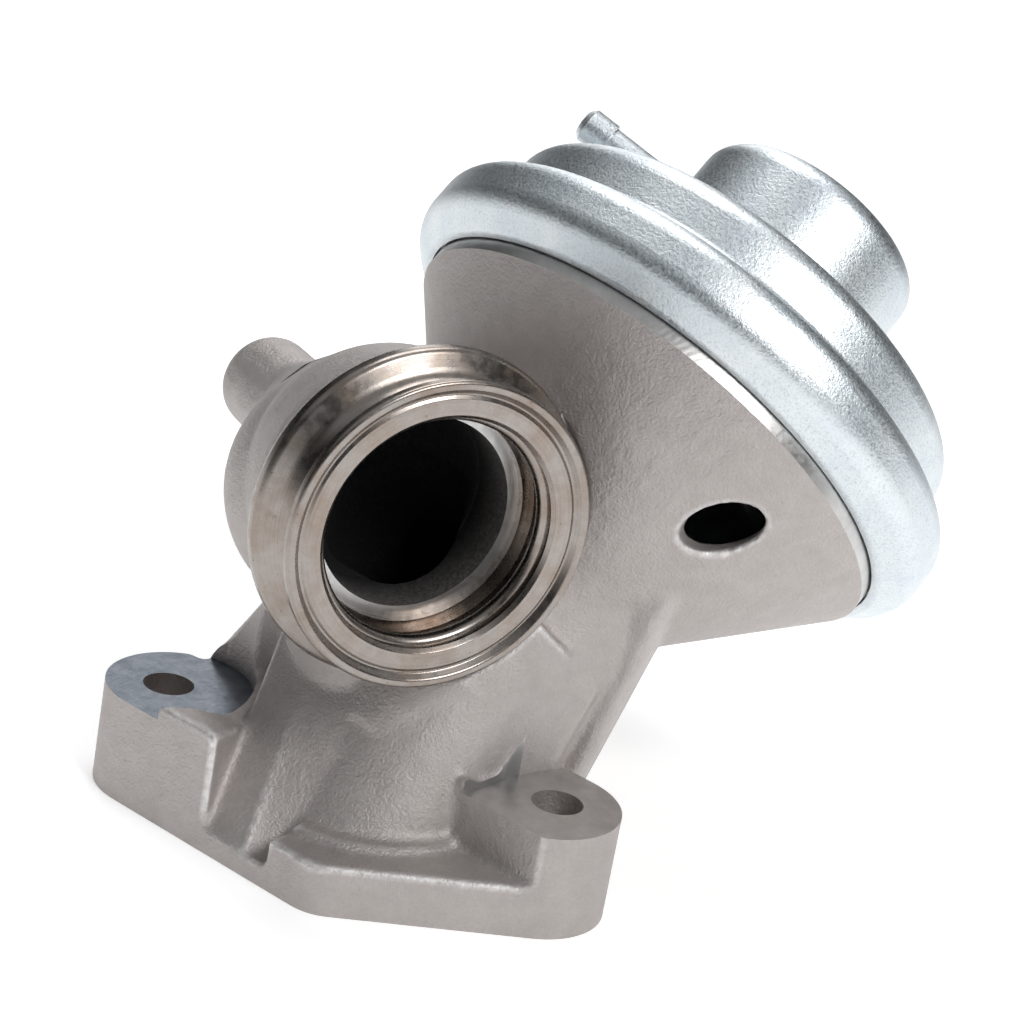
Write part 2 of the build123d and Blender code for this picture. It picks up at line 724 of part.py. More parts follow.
def front_ring():
    """Front ring of the collar: sloped back for the clamp, flat sealing face, groove and rolled lip."""
    lip_in = FRONT_R - RING_LIP_W
    lip_top = FRONT_FACE + RING_LIP_RISE
    return turned(
        inlet,
        [
            (MOUTH_R, ring_back),
            (COLLAR_NECK_R, ring_back),
            (FRONT_R, ring_back + RING_BACK_SLOPE),
            (FRONT_R, lip_top),
            (lip_in, lip_top),
            (lip_in - GROOVE_FLANK, FRONT_FACE - GROOVE_DEPTH),
            (lip_in - GROOVE_W, FRONT_FACE),
            (MOUTH_R + MOUTH_EDGE, FRONT_FACE),
            (MOUTH_R, FRONT_FACE - MOUTH_EDGE),
        ],
        [((FRONT_R, lip_top), RING_LIP_ROUND), ((lip_in, lip_top), RING_LIP_ROUND)],
    )


def seal_ring():
    """Stepped metal ring inside the collar, against the machined end of the snout."""
    return turned(
        inlet,
        [
            (SNOUT_R, SNOUT_FRONT),
            (SNOUT_R, SNOUT_FRONT + SEAL_RING_H),
            (SNOUT_R - SEAL_STEP_W, SNOUT_FRONT + SEAL_RING_H),
            (SNOUT_R - SEAL_STEP_W, SNOUT_FRONT + SEAL_STEP_H),
            (SNOUT_R - SEAL_RING_W, SNOUT_FRONT + SEAL_STEP_H),
            (SNOUT_R - SEAL_RING_W, SNOUT_FRONT),
        ],
    )


def lip_ring():
    """Round-edged ring just inside the mouth."""
    low = ring_back - LIP_RING_H
    inside = SNOUT_R - LIP_RING_W
    return turned(
        inlet,
        [(SNOUT_R, low), (SNOUT_R, ring_back), (inside, ring_back), (inside, low)],
        [((inside, ring_back), LIP_RING_ROUND), ((inside, low), LIP_RING_ROUND)],
    )


carrier_gasket = sleeve(actuator, CARRIER_FLANGE_R, STEM_BORE_R + GASKET_PLAY, FUNNEL_FLOOR, flange_seat)
guide_bush = sleeve(actuator, BUSH_R, STEM_R + FIT_CLEARANCE, CARRIER_START, bush_top)
stem_seal = sleeve(actuator, SEAL_R, STEM_R + FIT_CLEARANCE, bush_top, seal_top)
seal_retainer = sleeve(actuator, SEAL_R, STEM_R + RETAINER_PLAY, seal_top, seal_top + RETAINER_T)

save(valve_body(), "valve_body")
save(seat_ring(), "seat_ring")
save(valve_poppet(), "valve_poppet")
save(valve_stem(), "valve_stem")
save(guide_carrier(), "guide_carrier")
save(carrier_gasket, "carrier_gasket")
save(guide_bush, "guide_bush")
save(soot_deflector(), "soot_deflector")
save(stem_seal, "stem_seal")
save(seal_retainer, "seal_retainer")
save(lower_plate(), "lower_diaphragm_plate")
save(diaphragm(), "diaphragm")
save(upper_cup(), "upper_diaphragm_cup")
save(stem_nut(), "stem_nut")
save(spring(), "return_spring")
save(spring_seat(), "spring_seat")
save(cover(), "actuator_cover")
save(nipple(), "vacuum_nipple")
save(inlet_collar(), "inlet_collar")
save(front_ring(), "collar_front_ring")
save(seal_ring(), "inlet_seal_ring")
save(lip_ring(), "inlet_lip_ring")
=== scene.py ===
import json
from math import atan2, cos, pi, radians, sin, tan

import bmesh
import bpy
import numpy as np
import openvdb
from mathutils import Matrix, Vector


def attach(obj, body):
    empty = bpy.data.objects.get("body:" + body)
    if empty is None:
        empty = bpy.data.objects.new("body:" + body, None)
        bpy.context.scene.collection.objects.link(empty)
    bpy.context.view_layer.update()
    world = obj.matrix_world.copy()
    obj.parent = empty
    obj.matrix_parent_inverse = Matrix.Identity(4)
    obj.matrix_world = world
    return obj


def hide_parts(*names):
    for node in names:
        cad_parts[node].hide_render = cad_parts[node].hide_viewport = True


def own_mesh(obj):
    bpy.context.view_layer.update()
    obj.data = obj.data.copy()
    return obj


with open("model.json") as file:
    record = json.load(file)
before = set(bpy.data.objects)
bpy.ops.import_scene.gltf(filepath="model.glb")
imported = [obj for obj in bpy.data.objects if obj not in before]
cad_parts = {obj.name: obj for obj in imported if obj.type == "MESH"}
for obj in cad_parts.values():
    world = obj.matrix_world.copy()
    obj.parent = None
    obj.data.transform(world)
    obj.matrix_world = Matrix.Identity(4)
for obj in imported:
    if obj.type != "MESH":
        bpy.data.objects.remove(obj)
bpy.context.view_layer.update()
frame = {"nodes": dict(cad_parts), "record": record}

MM = 0.001

# The part's own sizes, in millimetres and degrees
BOLT_SPACING = 54.0
BOLT_HOLE_R = 3.35
LUG_HEIGHT = 14.0
SPOTFACE_R = 11.2
CUTTER_ARC = ((15.9, -6.0), (20.6, 4.6), (28.0, 13.6))
PORT_X = 2.5
ACT_AZIMUTH = 65.0
ACT_ELEVATION = 43.0
ACT_CROSS_Z = 12.4
INLET_AZIMUTH = -45.0
INLET_ORIGIN = (0.75, -1.75, 48.4)
CHAMBER_FRONT = 2.0
SNOUT_FRONT = 4.0
SNOUT_R = 15.8
GAS_R = 12.6
GAS_DEPTH = 4.0
DROP_X = -3.0
DROP_Y = 9.5
DROP_R = 8.5
CLAMP_SPACE_R = 22.7
RIM_R = 36.3
RIM_START = 55.6
RIM_SHOULDER = 58.9
RIM_SHOULDER_R = 38.3
FUNNEL_HALF_ANGLE = 40.6

# The sections of the collar and its front ring: radii, stations along the inlet, and roundings
COLLAR_FOOT_R = 18.8
BEAD_R = 21.7
BEAD_BACK = 2.7
BEAD_FRONT = 5.3
BEAD_BACK_ROUND = 1.25
BEAD_FRONT_ROUND = 1.0
NECK_R = 18.2
NECK_SLOPE = 1.4
NECK_ROUND = 2.4
RING_BACK = 10.2
RING_SLOPE = 0.5
RING_FACE = 11.6
RING_R = 20.08
RING_LIP = 12.1
RING_ROUND = 0.3
LIP_IN = 19.0
LIP_ROUND = 0.5
GROOVE_OUT = 0.8
GROOVE_IN = 1.3
GROOVE_DEPTH = 0.4
MOUTH_R = 15.1
MOUTH_CHAMFER = 0.5
MOUTH_ROUND = 0.25

# How the casting is finished, in millimetres
VOXEL = 0.35
FILLET_R = 0.8
EDGE_R = 0.35
STOCK = 2.0
SMOOTH_STEPS = (0.5, -0.52)
SLOPED = (0.03, 0.97)
# The painted highlight on convex edges: where it starts and where it is full, by how far a spot stands out,
# and how much it is blurred
HIGHLIGHT_FROM = 0.007
HIGHLIGHT_FULL = 0.03
HIGHLIGHT_ROUNDS = 3
HIGHLIGHT_BLUR = 0.6
EDGE_HIGHLIGHT = "painted_edge_highlight"

# The reach of the machining cuts, past the metal that they take away, in millimetres
CUTTER_SWEEP = 45.0
CUTTER_RISE = 18.0
SPOTFACE_TOP = 32.0
DRILL_LOW = -5.0
DRILL_HIGH = 20.0
DRILL_STEPS = 64
BASE_CUT_R = 60.0
BASE_CUT_LOW = -10.0
FRONT_CUT_END = 30.0
RIM_CUT_R = 45.0
RIM_CUT_START = 50.0
RIM_CUT_END = 70.0
RIM_CUT_STEPS = 240

# Which faces of the casting take which finish
# The last finish is painted shade for the inside of the gas passage and the drop
# The second finish is the milled face painted darker, a painted reflection of a dark room
CAST, MILLED_PAINTED_REFLECTION, MILLED_LIGHT, FACED_BRIGHT, PAINTED_SHADE_INSIDE = range(5)
MILLED_BRIGHT = 5.0
MILLED_BRIGHT_X = 21.0
GAS_LENGTH = 21.5
# Where the painted shade in the passage starts to deepen, and over what length it turns black, along the
# inlet
DROP_LOW = 14.0
SHADE_START = 3.5
SHADE_LENGTH = 7.0
NEAR = 0.05
TIGHT = 0.02
TOUCH = 0.01
SQUARE_ON = 0.998
FLAT = 0.99

# The cutter's marks, in metres and marks for each metre
MARKS_CENTRE = (-0.055, 0.02, 0)
MARKS = 500.0

# Camera, in millimetres and degrees, and lights: place in metres, size in metres and watts
CAMERA_PLACE = (105.227, -331.82, 179.139)
CAMERA_TURN = (69.1307, -9.5398, 18.9105)
CAMERA_LENS = 105.4688
CAMERA_NEAR = 0.01
LIGHT_TARGET = (0.01, 0.02, 0.045)
PANELS = {
    "overhead": ((-0.10, 0.30, 0.85), 0.5, 3.2),
    "right_front": ((0.60, -0.35, 0.60), 0.35, 4.2),
    "behind": ((-0.25, 0.85, 0.45), 0.4, 1.0),
}
WORLD_BAND = ((0.0, 0.55), (0.10, 0.40), (0.18, 0.05), (0.50, 0.07), (0.66, 0.75), (1.0, 1.0))
WORLD_TINT = (0.96, 0.98, 1.0)
WORLD_STRENGTH = 0.42
FLOOR_HALF = 3000
FLOOR_GLOW = 0.4


def axis_frame(azimuth, elevation, origin):
    """A matrix whose Z runs along the given direction and whose X stays level, in millimetres."""
    along = Vector((
        cos(radians(elevation)) * cos(radians(azimuth)),
        cos(radians(elevation)) * sin(radians(azimuth)),
        sin(radians(elevation)),
    ))
    side = Vector((sin(radians(azimuth)), -cos(radians(azimuth)), 0))
    up = along.cross(side)
    return Matrix.Translation(origin) @ Matrix((side, up, along)).transposed().to_4x4()


actuator = axis_frame(ACT_AZIMUTH, ACT_ELEVATION, (PORT_X, 0, ACT_CROSS_Z))
inlet = axis_frame(INLET_AZIMUTH, 0, INLET_ORIGIN)
level = Matrix.Identity(4)


def stations(points, axis):
    """How far each point lies along an axis frame, and how far away from its axis, in millimetres."""
    local = (np.asarray(points) - np.array(axis.translation)) @ np.array(axis.to_3x3())
    return local[:, 2], np.hypot(local[:, 0], local[:, 1])


# Material nodes

class Look:
    """A material's node tree, with short calls for the nodes that every finish here uses."""

    def __init__(self, name):
        self.material = bpy.data.materials.new(name)
        self.material.use_nodes = True
        self.tree = self.material.node_tree
        self.shader = self.tree.nodes["Principled BSDF"]
        self.place = self.add("ShaderNodeTexCoord").outputs["Object"]

    def add(self, kind, **settings):
        made = self.tree.nodes.new(kind)
        for key, value in settings.items():
            setattr(made, key, value)
        return made

    def put(self, socket, value):
        """Links a socket to another, or sets it to a value."""
        if isinstance(value, bpy.types.NodeSocket):
            self.tree.links.new(value, socket)
        else:
            socket.default_value = value

    def noise(self, size_mm, detail=3.0, roughness=0.55, at=None):
        made = self.add("ShaderNodeTexNoise")
        self.put(made.inputs["Vector"], at or self.place)
        made.inputs["Scale"].default_value = 1 / (size_mm * MM)
        made.inputs["Detail"].default_value = detail
        made.inputs["Roughness"].default_value = roughness
        return made.outputs["Fac"]

    def ramp(self, value, low, high, out_low=0.0, out_high=1.0):
        """Stretches the span from low to high over the span from out_low to out_high."""
        made = self.add("ShaderNodeMapRange")
        self.put(made.inputs["Value"], value)
        made.inputs["From Min"].default_value = low
        made.inputs["From Max"].default_value = high
        made.inputs["To Min"].default_value = out_low
        made.inputs["To Max"].default_value = out_high
        return made.outputs["Result"]

    def mix(self, share, first, second):
        """The first colour where the share is 0, and the second where it is 1."""
        made = self.add("ShaderNodeMix", data_type="RGBA")
        self.put(made.inputs["Factor"], share)
        self.put(made.inputs["A"], first if isinstance(first, bpy.types.NodeSocket) else (*first, 1))
        self.put(made.inputs["B"], second if isinstance(second, bpy.types.NodeSocket) else (*second, 1))
        return made.outputs["Result"]

    def math(self, operation, first, second):
        made = self.add("ShaderNodeMath", operation=operation)
        self.put(made.inputs[0], first)
        self.put(made.inputs[1], second)
        return made.outputs[0]

    def turned_place(self, axis):
        """The distance from a turning axis and the station along it, as two sockets in metres."""
        moved = self.add("ShaderNodeMapping", vector_type="TEXTURE")
        self.put(moved.inputs["Vector"], self.place)
        moved.inputs["Location"].default_value = axis.translation * MM
        moved.inputs["Rotation"].default_value = axis.to_euler()
        split = self.add("ShaderNodeSeparateXYZ")
        self.put(split.inputs[0], moved.outputs[0])
        across = self.math("POWER", split.outputs[0], 2.0)
        upwards = self.math("POWER", split.outputs[1], 2.0)
        return self.math("SQRT", self.math("ADD", across, upwards), 0.0), split.outputs[2]

    def turned_lines(self, axis, size_mm):
        """Fine uneven lines round a turning axis."""
        radius, station = self.turned_place(axis)
        joined = self.add("ShaderNodeCombineXYZ")
        self.put(joined.inputs[0], radius)
        self.put(joined.inputs[2], station)
        return self.noise(size_mm, 2.0, 0.6, joined.outputs[0])

    def bump(self, height, depth_mm, after=None):
        made = self.add("ShaderNodeBump")
        made.inputs["Distance"].default_value = depth_mm * MM
        self.put(made.inputs["Height"], height)
        if after:
            self.put(made.inputs["Normal"], after)
        return made.outputs["Normal"]

    def finish(self, colour, roughness, normal, metallic=1.0):
        """Puts the results on the shader and gives the material."""
        self.put(self.shader.inputs["Base Color"], colour)
        self.put(self.shader.inputs["Roughness"], roughness)
        self.put(self.shader.inputs["Normal"], normal)
        self.shader.inputs["Metallic"].default_value = metallic
        return self.material


def cast_look():
    """Sand-cast and shot-blasted: fine grain, cloudy tone and a painted highlight on the convex edges."""
    look = Look("shot_blasted_casting")
    cloudy = look.noise(9.0, 4.0)
    grainy = look.noise(0.42, 2.0, 0.7)
    stained = look.ramp(look.noise(3.0, 5.0, 0.65), 0.35, 0.7)
    colour = look.mix(cloudy, (0.42, 0.385, 0.37), (0.52, 0.485, 0.47))
    colour = look.mix(look.ramp(grainy, 0.35, 0.75, 0.0, 0.4), colour, (0.66, 0.63, 0.61))
    colour = look.mix(look.math("MULTIPLY", stained, 0.3), colour, (0.36, 0.32, 0.31))
    # Convex edges are painted near-white as a painted highlight, patchy with noise
    highlight_share = look.add("ShaderNodeAttribute", attribute_name=EDGE_HIGHLIGHT).outputs["Fac"]
    highlight_share = look.math("MULTIPLY", highlight_share, look.ramp(look.noise(1.2, 3.0), 0.3, 0.6, 0.35, 1.0))
    colour = look.mix(highlight_share, colour, (0.86, 0.84, 0.83))
    rough = look.ramp(grainy, 0.3, 0.7, 0.5, 0.66)
    fine = look.bump(grainy, 0.16)
    coarse = look.bump(look.noise(1.8, 3.0), 0.16, fine)
    return look.finish(colour, rough, coarse, 0.7)


def painted_shade_inside_look():
    """The cored gas passage, darkened as painted shade: dark grey grain by the mouth, and black painted
    shade further in.
    """
    look = Look("passage_painted_shade")
    grain = look.ramp(look.noise(0.5, 3.0, 0.7), 0.35, 0.7)
    _, station = look.turned_place(inlet)
    depth = look.ramp(station, (SHADE_START - SHADE_LENGTH) * MM, SHADE_START * MM, 1.0, 0.0)
    mouth_shade = look.mix(grain, (0.05, 0.047, 0.045), (0.16, 0.15, 0.145))
    deep_shade = look.mix(grain, (0.002, 0.002, 0.002), (0.006, 0.006, 0.006))
    rough = look.ramp(grain, 0, 1, 0.75, 0.95)
    return look.finish(look.mix(depth, mouth_shade, deep_shade), rough, look.bump(grain, 0.12), 0.0)


def machined_look(name, tone, dark, roughness):
    """A milled face with fine arcs from the cutter."""
    look = Look(name)
    rings = look.add("ShaderNodeTexWave", wave_type="RINGS", rings_direction="Z")
    moved = look.add("ShaderNodeMapping")
    look.put(moved.inputs["Vector"], look.place)
    moved.inputs["Location"].default_value = MARKS_CENTRE
    look.put(rings.inputs["Vector"], moved.outputs[0])
    rings.inputs["Scale"].default_value = MARKS
    rings.inputs["Distortion"].default_value = 0.6
    blotch = look.noise(2.5, 4.0)
    colour = look.mix(look.ramp(blotch, 0.35, 0.7), tone, dark)
    rough = look.ramp(look.noise(0.6), 0.3, 0.7, roughness - 0.05, roughness + 0.08)
    grain = look.bump(look.noise(0.4), 0.01)
    return look.finish(colour, rough, look.bump(rings.outputs["Fac"], 0.008, grain))


def zinc_look():
    """Zinc-plated sheet: fine grain, a slow bloom and a few scuffs."""
    look = Look("satin_zinc")
    grain = look.noise(0.35, 2.0, 0.7)
    bloom = look.noise(7.0, 4.0)
    colour = look.mix(look.ramp(bloom, 0.35, 0.65), (0.62, 0.68, 0.72), (0.72, 0.76, 0.78))
    colour = look.mix(look.ramp(grain, 0.45, 0.8, 0.0, 0.5), colour, (0.85, 0.88, 0.90))
    colour = look.mix(look.ramp(grain, 0.48, 0.25, 0.0, 0.6), colour, (0.36, 0.39, 0.41))
    scuffs = look.ramp(look.noise(5.0, 6.0, 0.8), 0.66, 0.72, 0.0, 0.5)
    colour = look.mix(scuffs, colour, (0.50, 0.53, 0.56))
    rough = look.ramp(grain, 0.3, 0.7, 0.34, 0.50)
    return look.finish(colour, rough, look.bump(look.noise(1.2, 3.0), 0.05, look.bump(grain, 0.06)))


def turned_look(name, axis, tone, tint, roughness, line_mm=0.12, depth_mm=0.004, pits=0.0):
    """Lathe-turned metal: lines round the axis, uneven tint and a few pits."""
    look = Look(name)
    lines = look.turned_lines(axis, line_mm)
    clouds = look.noise(6.0, 4.0)
    colour = look.mix(look.ramp(clouds, 0.38, 0.66), tone, tint)
    colour = look.mix(look.ramp(lines, 0.3, 0.8, 0.0, 0.25), colour, (0.60, 0.58, 0.56))
    if pits:
        dark = look.ramp(look.noise(0.9, 5.0, 0.75), 0.64, 0.70, 0.0, pits)
        colour = look.mix(dark, colour, (0.10, 0.08, 0.07))
    rough = look.ramp(look.noise(1.5, 3.0), 0.3, 0.7, roughness - 0.05, roughness + 0.07)
    return look.finish(colour, rough, look.bump(look.noise(0.7), depth_mm, look.bump(lines, depth_mm)))


def matt_look(name, tone, tint, roughness, grain_mm, depth_mm, metallic=0.0):
    """An even, grainy finish between two tones."""
    look = Look(name)
    grain = look.noise(grain_mm, 4.0)
    colour = look.mix(look.ramp(grain, 0.35, 0.65), tone, tint)
    rough = look.ramp(grain, 0.3, 0.7, roughness - 0.06, roughness + 0.06)
    return look.finish(colour, rough, look.bump(grain, depth_mm), metallic)


cast = cast_look()
looks = {
    "zinc_steel": zinc_look(),
    "stainless": turned_look(
        "polished_stainless", inlet, (0.30, 0.27, 0.25), (0.24, 0.19, 0.155), 0.27, pits=0.85
    ),
    "hard_steel": turned_look("ground_seat_steel", actuator, (0.42, 0.41, 0.40), (0.34, 0.30, 0.27), 0.30),
    "ground_steel": turned_look(
        "ground_stem_steel", actuator, (0.62, 0.62, 0.62), (0.56, 0.56, 0.57), 0.18, 0.06
    ),
    "turned_steel": turned_look("turned_plug_steel", actuator, (0.52, 0.51, 0.50), (0.44, 0.43, 0.42), 0.30),
    "spring_steel": matt_look(
        "oiled_spring_wire", (0.28, 0.28, 0.29), (0.36, 0.36, 0.37), 0.30, 0.5, 0.01, 1.0
    ),
    "bronze": matt_look("sintered_bronze", (0.48, 0.33, 0.18), (0.60, 0.44, 0.25), 0.42, 0.25, 0.02, 1.0),
    "graphite": matt_look("graphite_packing", (0.05, 0.05, 0.055), (0.10, 0.10, 0.105), 0.6, 0.3, 0.03),
    "rubber": matt_look("coated_fabric_rubber", (0.03, 0.03, 0.03), (0.055, 0.055, 0.055), 0.6, 0.4, 0.04),
}
slot_of = {row["node"]: row["material_slot"] for row in frame["record"]["subparts"]}
for name, piece in frame["nodes"].items():
    if slot_of[name] in looks:
        piece.data.materials.clear()
        piece.data.materials.append(looks[slot_of[name]])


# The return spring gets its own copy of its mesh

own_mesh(frame["nodes"]["return_spring"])


# Meshes and cuts

def mesh_object(name, points, faces):
    """A mesh in the scene, from points in millimetres."""
    mesh = bpy.data.meshes.new(name)
    mesh.from_pydata((np.asarray(points) * MM).tolist(), [], faces)
    mesh.update()
    made = bpy.data.objects.new(name, mesh)
    bpy.context.scene.collection.objects.link(made)
    return made


def tidy(made):
    """Welds doubled points and turns every face outwards."""
    work = bmesh.new()
    work.from_mesh(made.data)
    bmesh.ops.remove_doubles(work, verts=work.verts, dist=1e-7)
    bmesh.ops.dissolve_degenerate(work, edges=work.edges, dist=1e-7)
    bmesh.ops.recalc_face_normals(work, faces=work.faces)
    work.to_mesh(made.data)
    work.free()


def lathe(name, axis, profile, steps=180):
    """A closed ring or disc turned about an axis from (radius, station) points in millimetres."""
    count = len(profile)
    turn = 2 * pi / steps
    points = [
        axis @ Vector((radius * cos(turn * step), radius * sin(turn * step), station))
        for step in range(steps)
        for radius, station in profile
    ]
    faces = []
    for step in range(steps):
        near, far = step * count, (step + 1) % steps * count
        for i in range(count):
            j = (i + 1) % count
            faces.append((near + i, far + i, far + j, near + j))
    made = mesh_object(name, points, faces)
    tidy(made)
    return made


def prism(name, outline, low, high):
    """A solid with a flat outline in X and Y, from one height to another."""
    count = len(outline)
    points = [(x, y, z) for z in (low, high) for x, y in outline]
    sides = [(i, (i + 1) % count, count + (i + 1) % count, count + i) for i in range(count)]
    made = mesh_object(name, points, [tuple(range(count)), tuple(range(count, 2 * count))] + sides)
    tidy(made)
    return made


def circle_through(first, middle, last):
    """The centre and radius of the circle through three points."""
    (ax, ay), (bx, by), (cx, cy) = first, middle, last
    d = 2 * (ax * (by - cy) + bx * (cy - ay) + cx * (ay - by))
    ux = ((ax**2 + ay**2) * (by - cy) + (bx**2 + by**2) * (cy - ay) + (cx**2 + cy**2) * (ay - by)) / d
    uy = ((ax**2 + ay**2) * (cx - bx) + (bx**2 + by**2) * (ax - cx) + (cx**2 + cy**2) * (bx - ax)) / d
    return (ux, uy), ((ax - ux) ** 2 + (ay - uy) ** 2) ** 0.5


def arc_points(first, middle, last, steps=48):
    """Points on the circle arc through three points."""
    (ux, uy), radius = circle_through(first, middle, last)
    start = atan2(first[1] - uy, first[0] - ux)
    sweep = (atan2(last[1] - uy, last[0] - ux) - start + pi) % (2 * pi) - pi
    return [
        (ux + radius * cos(start + sweep * k / steps), uy + radius * sin(start + sweep * k / steps))
        for k in range(steps + 1)
    ]


def cut_away(target, tool):
    """Takes the tool's volume out of the target for good, and deletes the tool."""
    step = target.modifiers.new("cut", "BOOLEAN")
    step.operation = "DIFFERENCE"
    step.solver = "MANIFOLD"
    step.object = tool
    bpy.context.view_layer.update()
    result = bpy.data.meshes.new_from_object(target.evaluated_get(bpy.context.evaluated_depsgraph_get()))
    target.modifiers.clear()
    target.data = result
    bpy.data.objects.remove(tool)


def read(collection, key, width, kind=float):
    """A quantity of a mesh's vertices, edges or faces, as an array with that many columns."""
    values = np.empty(len(collection) * width, dtype=kind)
    collection.foreach_get(key, values)
    return values.reshape(-1, width)


# The turned steel pieces, with the part's own sections at a finer step

def rounded(corners, steps=8):
    """A closed section from (radius, station, rounding) corners, where a rounding of 0 stays sharp."""
    places = [Vector(corner[:2]) for corner in corners]
    section = []
    for i, here in enumerate(places):
        rounding = corners[i][2]
        if not rounding:
            section.append(here)
            continue
        back = (places[i - 1] - here).normalized()
        ahead = (places[(i + 1) % len(places)] - here).normalized()
        half = back.angle(ahead) / 2
        middle = here + (back + ahead).normalized() * rounding / sin(half)
        start = here + back * rounding / tan(half) - middle
        end = here + ahead * rounding / tan(half) - middle
        turn = atan2(start.x * end.y - start.y * end.x, start.dot(end))
        for step in range(steps + 1):
            section.append(middle + Matrix.Rotation(turn * step / steps, 2) @ start)
    return section


def turned_piece(name, node, axis, corners, steps=256):
    """A turned piece that stands for a CAD node and takes its finish."""
    made = lathe(name, axis, rounded(corners), steps)
    made.data.shade_smooth()
    made.data.set_sharp_from_angle(angle=radians(30))
    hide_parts(node)
    made.data.materials.append(looks[slot_of[node]])
    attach(made, "housing")
    return made


collar = [
    (SNOUT_R, CHAMBER_FRONT, 0),
    (COLLAR_FOOT_R, CHAMBER_FRONT, 0),
    (COLLAR_FOOT_R, BEAD_BACK, 0),
    (BEAD_R, BEAD_BACK, BEAD_BACK_ROUND),
    (BEAD_R, BEAD_FRONT, BEAD_FRONT_ROUND),
    (NECK_R, BEAD_FRONT + NECK_SLOPE, NECK_ROUND),
    (NECK_R, RING_BACK, 0),
    (SNOUT_R, RING_BACK, 0),
]
ring = [
    (MOUTH_R, RING_BACK, 0),
    (NECK_R, RING_BACK, 0),
    (RING_R, RING_BACK + RING_SLOPE, RING_ROUND),
    (RING_R, RING_LIP, LIP_ROUND),
    (LIP_IN, RING_LIP, LIP_ROUND),
    (LIP_IN - GROOVE_OUT, RING_FACE - GROOVE_DEPTH, RING_ROUND),
    (LIP_IN - GROOVE_IN, RING_FACE, RING_ROUND),
    (MOUTH_R + MOUTH_CHAMFER, RING_FACE, MOUTH_ROUND),
    (MOUTH_R, RING_FACE - MOUTH_CHAMFER, 0),
]
turned_piece("collar_turned", "inlet_collar", inlet, collar)
turned_piece("front_ring_turned", "collar_front_ring", inlet, ring)


# The casting: the same form as the solid, with cast fillets, rounded edges and crisp machined cuts

def offset_surface(points, triangles, quads, amount):
    """The surface that lies a set distance outside (or, if negative, inside) the given closed one."""
    voxels = openvdb.createLinearTransform(voxelSize=VOXEL)
    field = openvdb.FloatGrid.createLevelSetFromPolygons(
        points, triangles=triangles, quads=quads, transform=voxels, halfWidth=abs(amount) / VOXEL + 3
    )
    return field.convertToPolygons(isovalue=amount)


def beside_slopes(points, triangles):
    """Which points touch a face that is neither level nor upright."""
    first, second, third = points[triangles].transpose(1, 0, 2)
    across = np.cross(second - first, third - first)
    level_share = np.abs(across[:, 2]) / np.maximum(np.linalg.norm(across, axis=1), 1e-12)
    spot = np.unique(np.round(points, 2), axis=0, return_inverse=True)[1].ravel()
    touched = np.zeros(spot.max() + 1, dtype=bool)
    touched[spot[triangles[(level_share > SLOPED[0]) & (level_share < SLOPED[1])]]] = True
    return touched[spot]


def with_stock(points, triangles):
    """Lets the faces that are machined later stand proud, so that rounding leaves their edges whole."""
    grown = points.copy()
    lug_top = np.abs(points[:, 2] - LUG_HEIGHT) < TOUCH
    grown[lug_top & ~beside_slopes(points, triangles), 2] += STOCK
    grown[points[:, 2] < TOUCH, 2] -= STOCK
    station, radius = stations(points, inlet)
    snout = (np.abs(station - SNOUT_FRONT) < TOUCH) & (radius < SNOUT_R + 0.1)
    grown[snout] += np.array(inlet.col[2][:3]) * STOCK
    station, radius = stations(points, actuator)
    along = np.array(actuator.col[2][:3])
    across = points - np.array(actuator.translation) - np.outer(station, along)
    out = across / np.maximum(radius, 1)[:, None]
    edge = (np.abs(station - RIM_START) < NEAR) & (np.abs(radius - RIM_R) < NEAR)
    grown[edge] += STOCK * (out[edge] + along / tan(radians(FUNNEL_HALF_ANGLE)))
    shoulder = (station > RIM_SHOULDER - NEAR) & (radius > RIM_R - NEAR)
    grown[shoulder] += STOCK * out[shoulder]
    return grown


def neighbour_mean(values, edges, degree):
    """For each vertex, the mean of a quantity over the vertices that an edge joins to it."""
    total = np.zeros_like(values)
    for column in range(values.shape[1]):
        total[:, column] = np.bincount(edges[:, 0], values[edges[:, 1], column], len(values))
        total[:, column] += np.bincount(edges[:, 1], values[edges[:, 0], column], len(values))
    return total / degree[:, None]


def relax(mesh, rounds=2):
    """Evens out small steps in the surface without shrinking it."""
    edges = read(mesh.edges, "vertices", 2, np.int32)
    points = read(mesh.vertices, "co", 3)
    degree = np.maximum(np.bincount(edges.ravel(), minlength=len(points)), 1)
    for _ in range(rounds):
        for push in SMOOTH_STEPS:
            points += push * (neighbour_mean(points, edges, degree) - points)
    mesh.vertices.foreach_set("co", points.ravel())
    mesh.update()


def mark_edge_highlight(mesh):
    """Stores how sharply each spot stands out, as the share of painted highlight on the edges."""
    edges = read(mesh.edges, "vertices", 2, np.int32)
    points = read(mesh.vertices, "co", 3) / MM
    normals = read(mesh.vertices, "normal", 3)
    degree = np.maximum(np.bincount(edges.ravel(), minlength=len(points)), 1)
    bulge = ((points - neighbour_mean(points, edges, degree)) * normals).sum(1, keepdims=True)
    for _ in range(HIGHLIGHT_ROUNDS):
        bulge = (1 - HIGHLIGHT_BLUR) * bulge + HIGHLIGHT_BLUR * neighbour_mean(bulge, edges, degree)
    highlight_share = np.clip((bulge[:, 0] - HIGHLIGHT_FROM) / (HIGHLIGHT_FULL - HIGHLIGHT_FROM), 0, 1)
    mesh.attributes.new(EDGE_HIGHLIGHT, "FLOAT", "POINT").data.foreach_set("value", highlight_share)


def signed_volume(points, quads):
    """Six times the volume inside the quads, and below zero where they face inwards."""
    a, b, c, d = points[quads].transpose(1, 0, 2).astype(float)
    return (a * np.cross(b, c)).sum() + (a * np.cross(c, d)).sum()


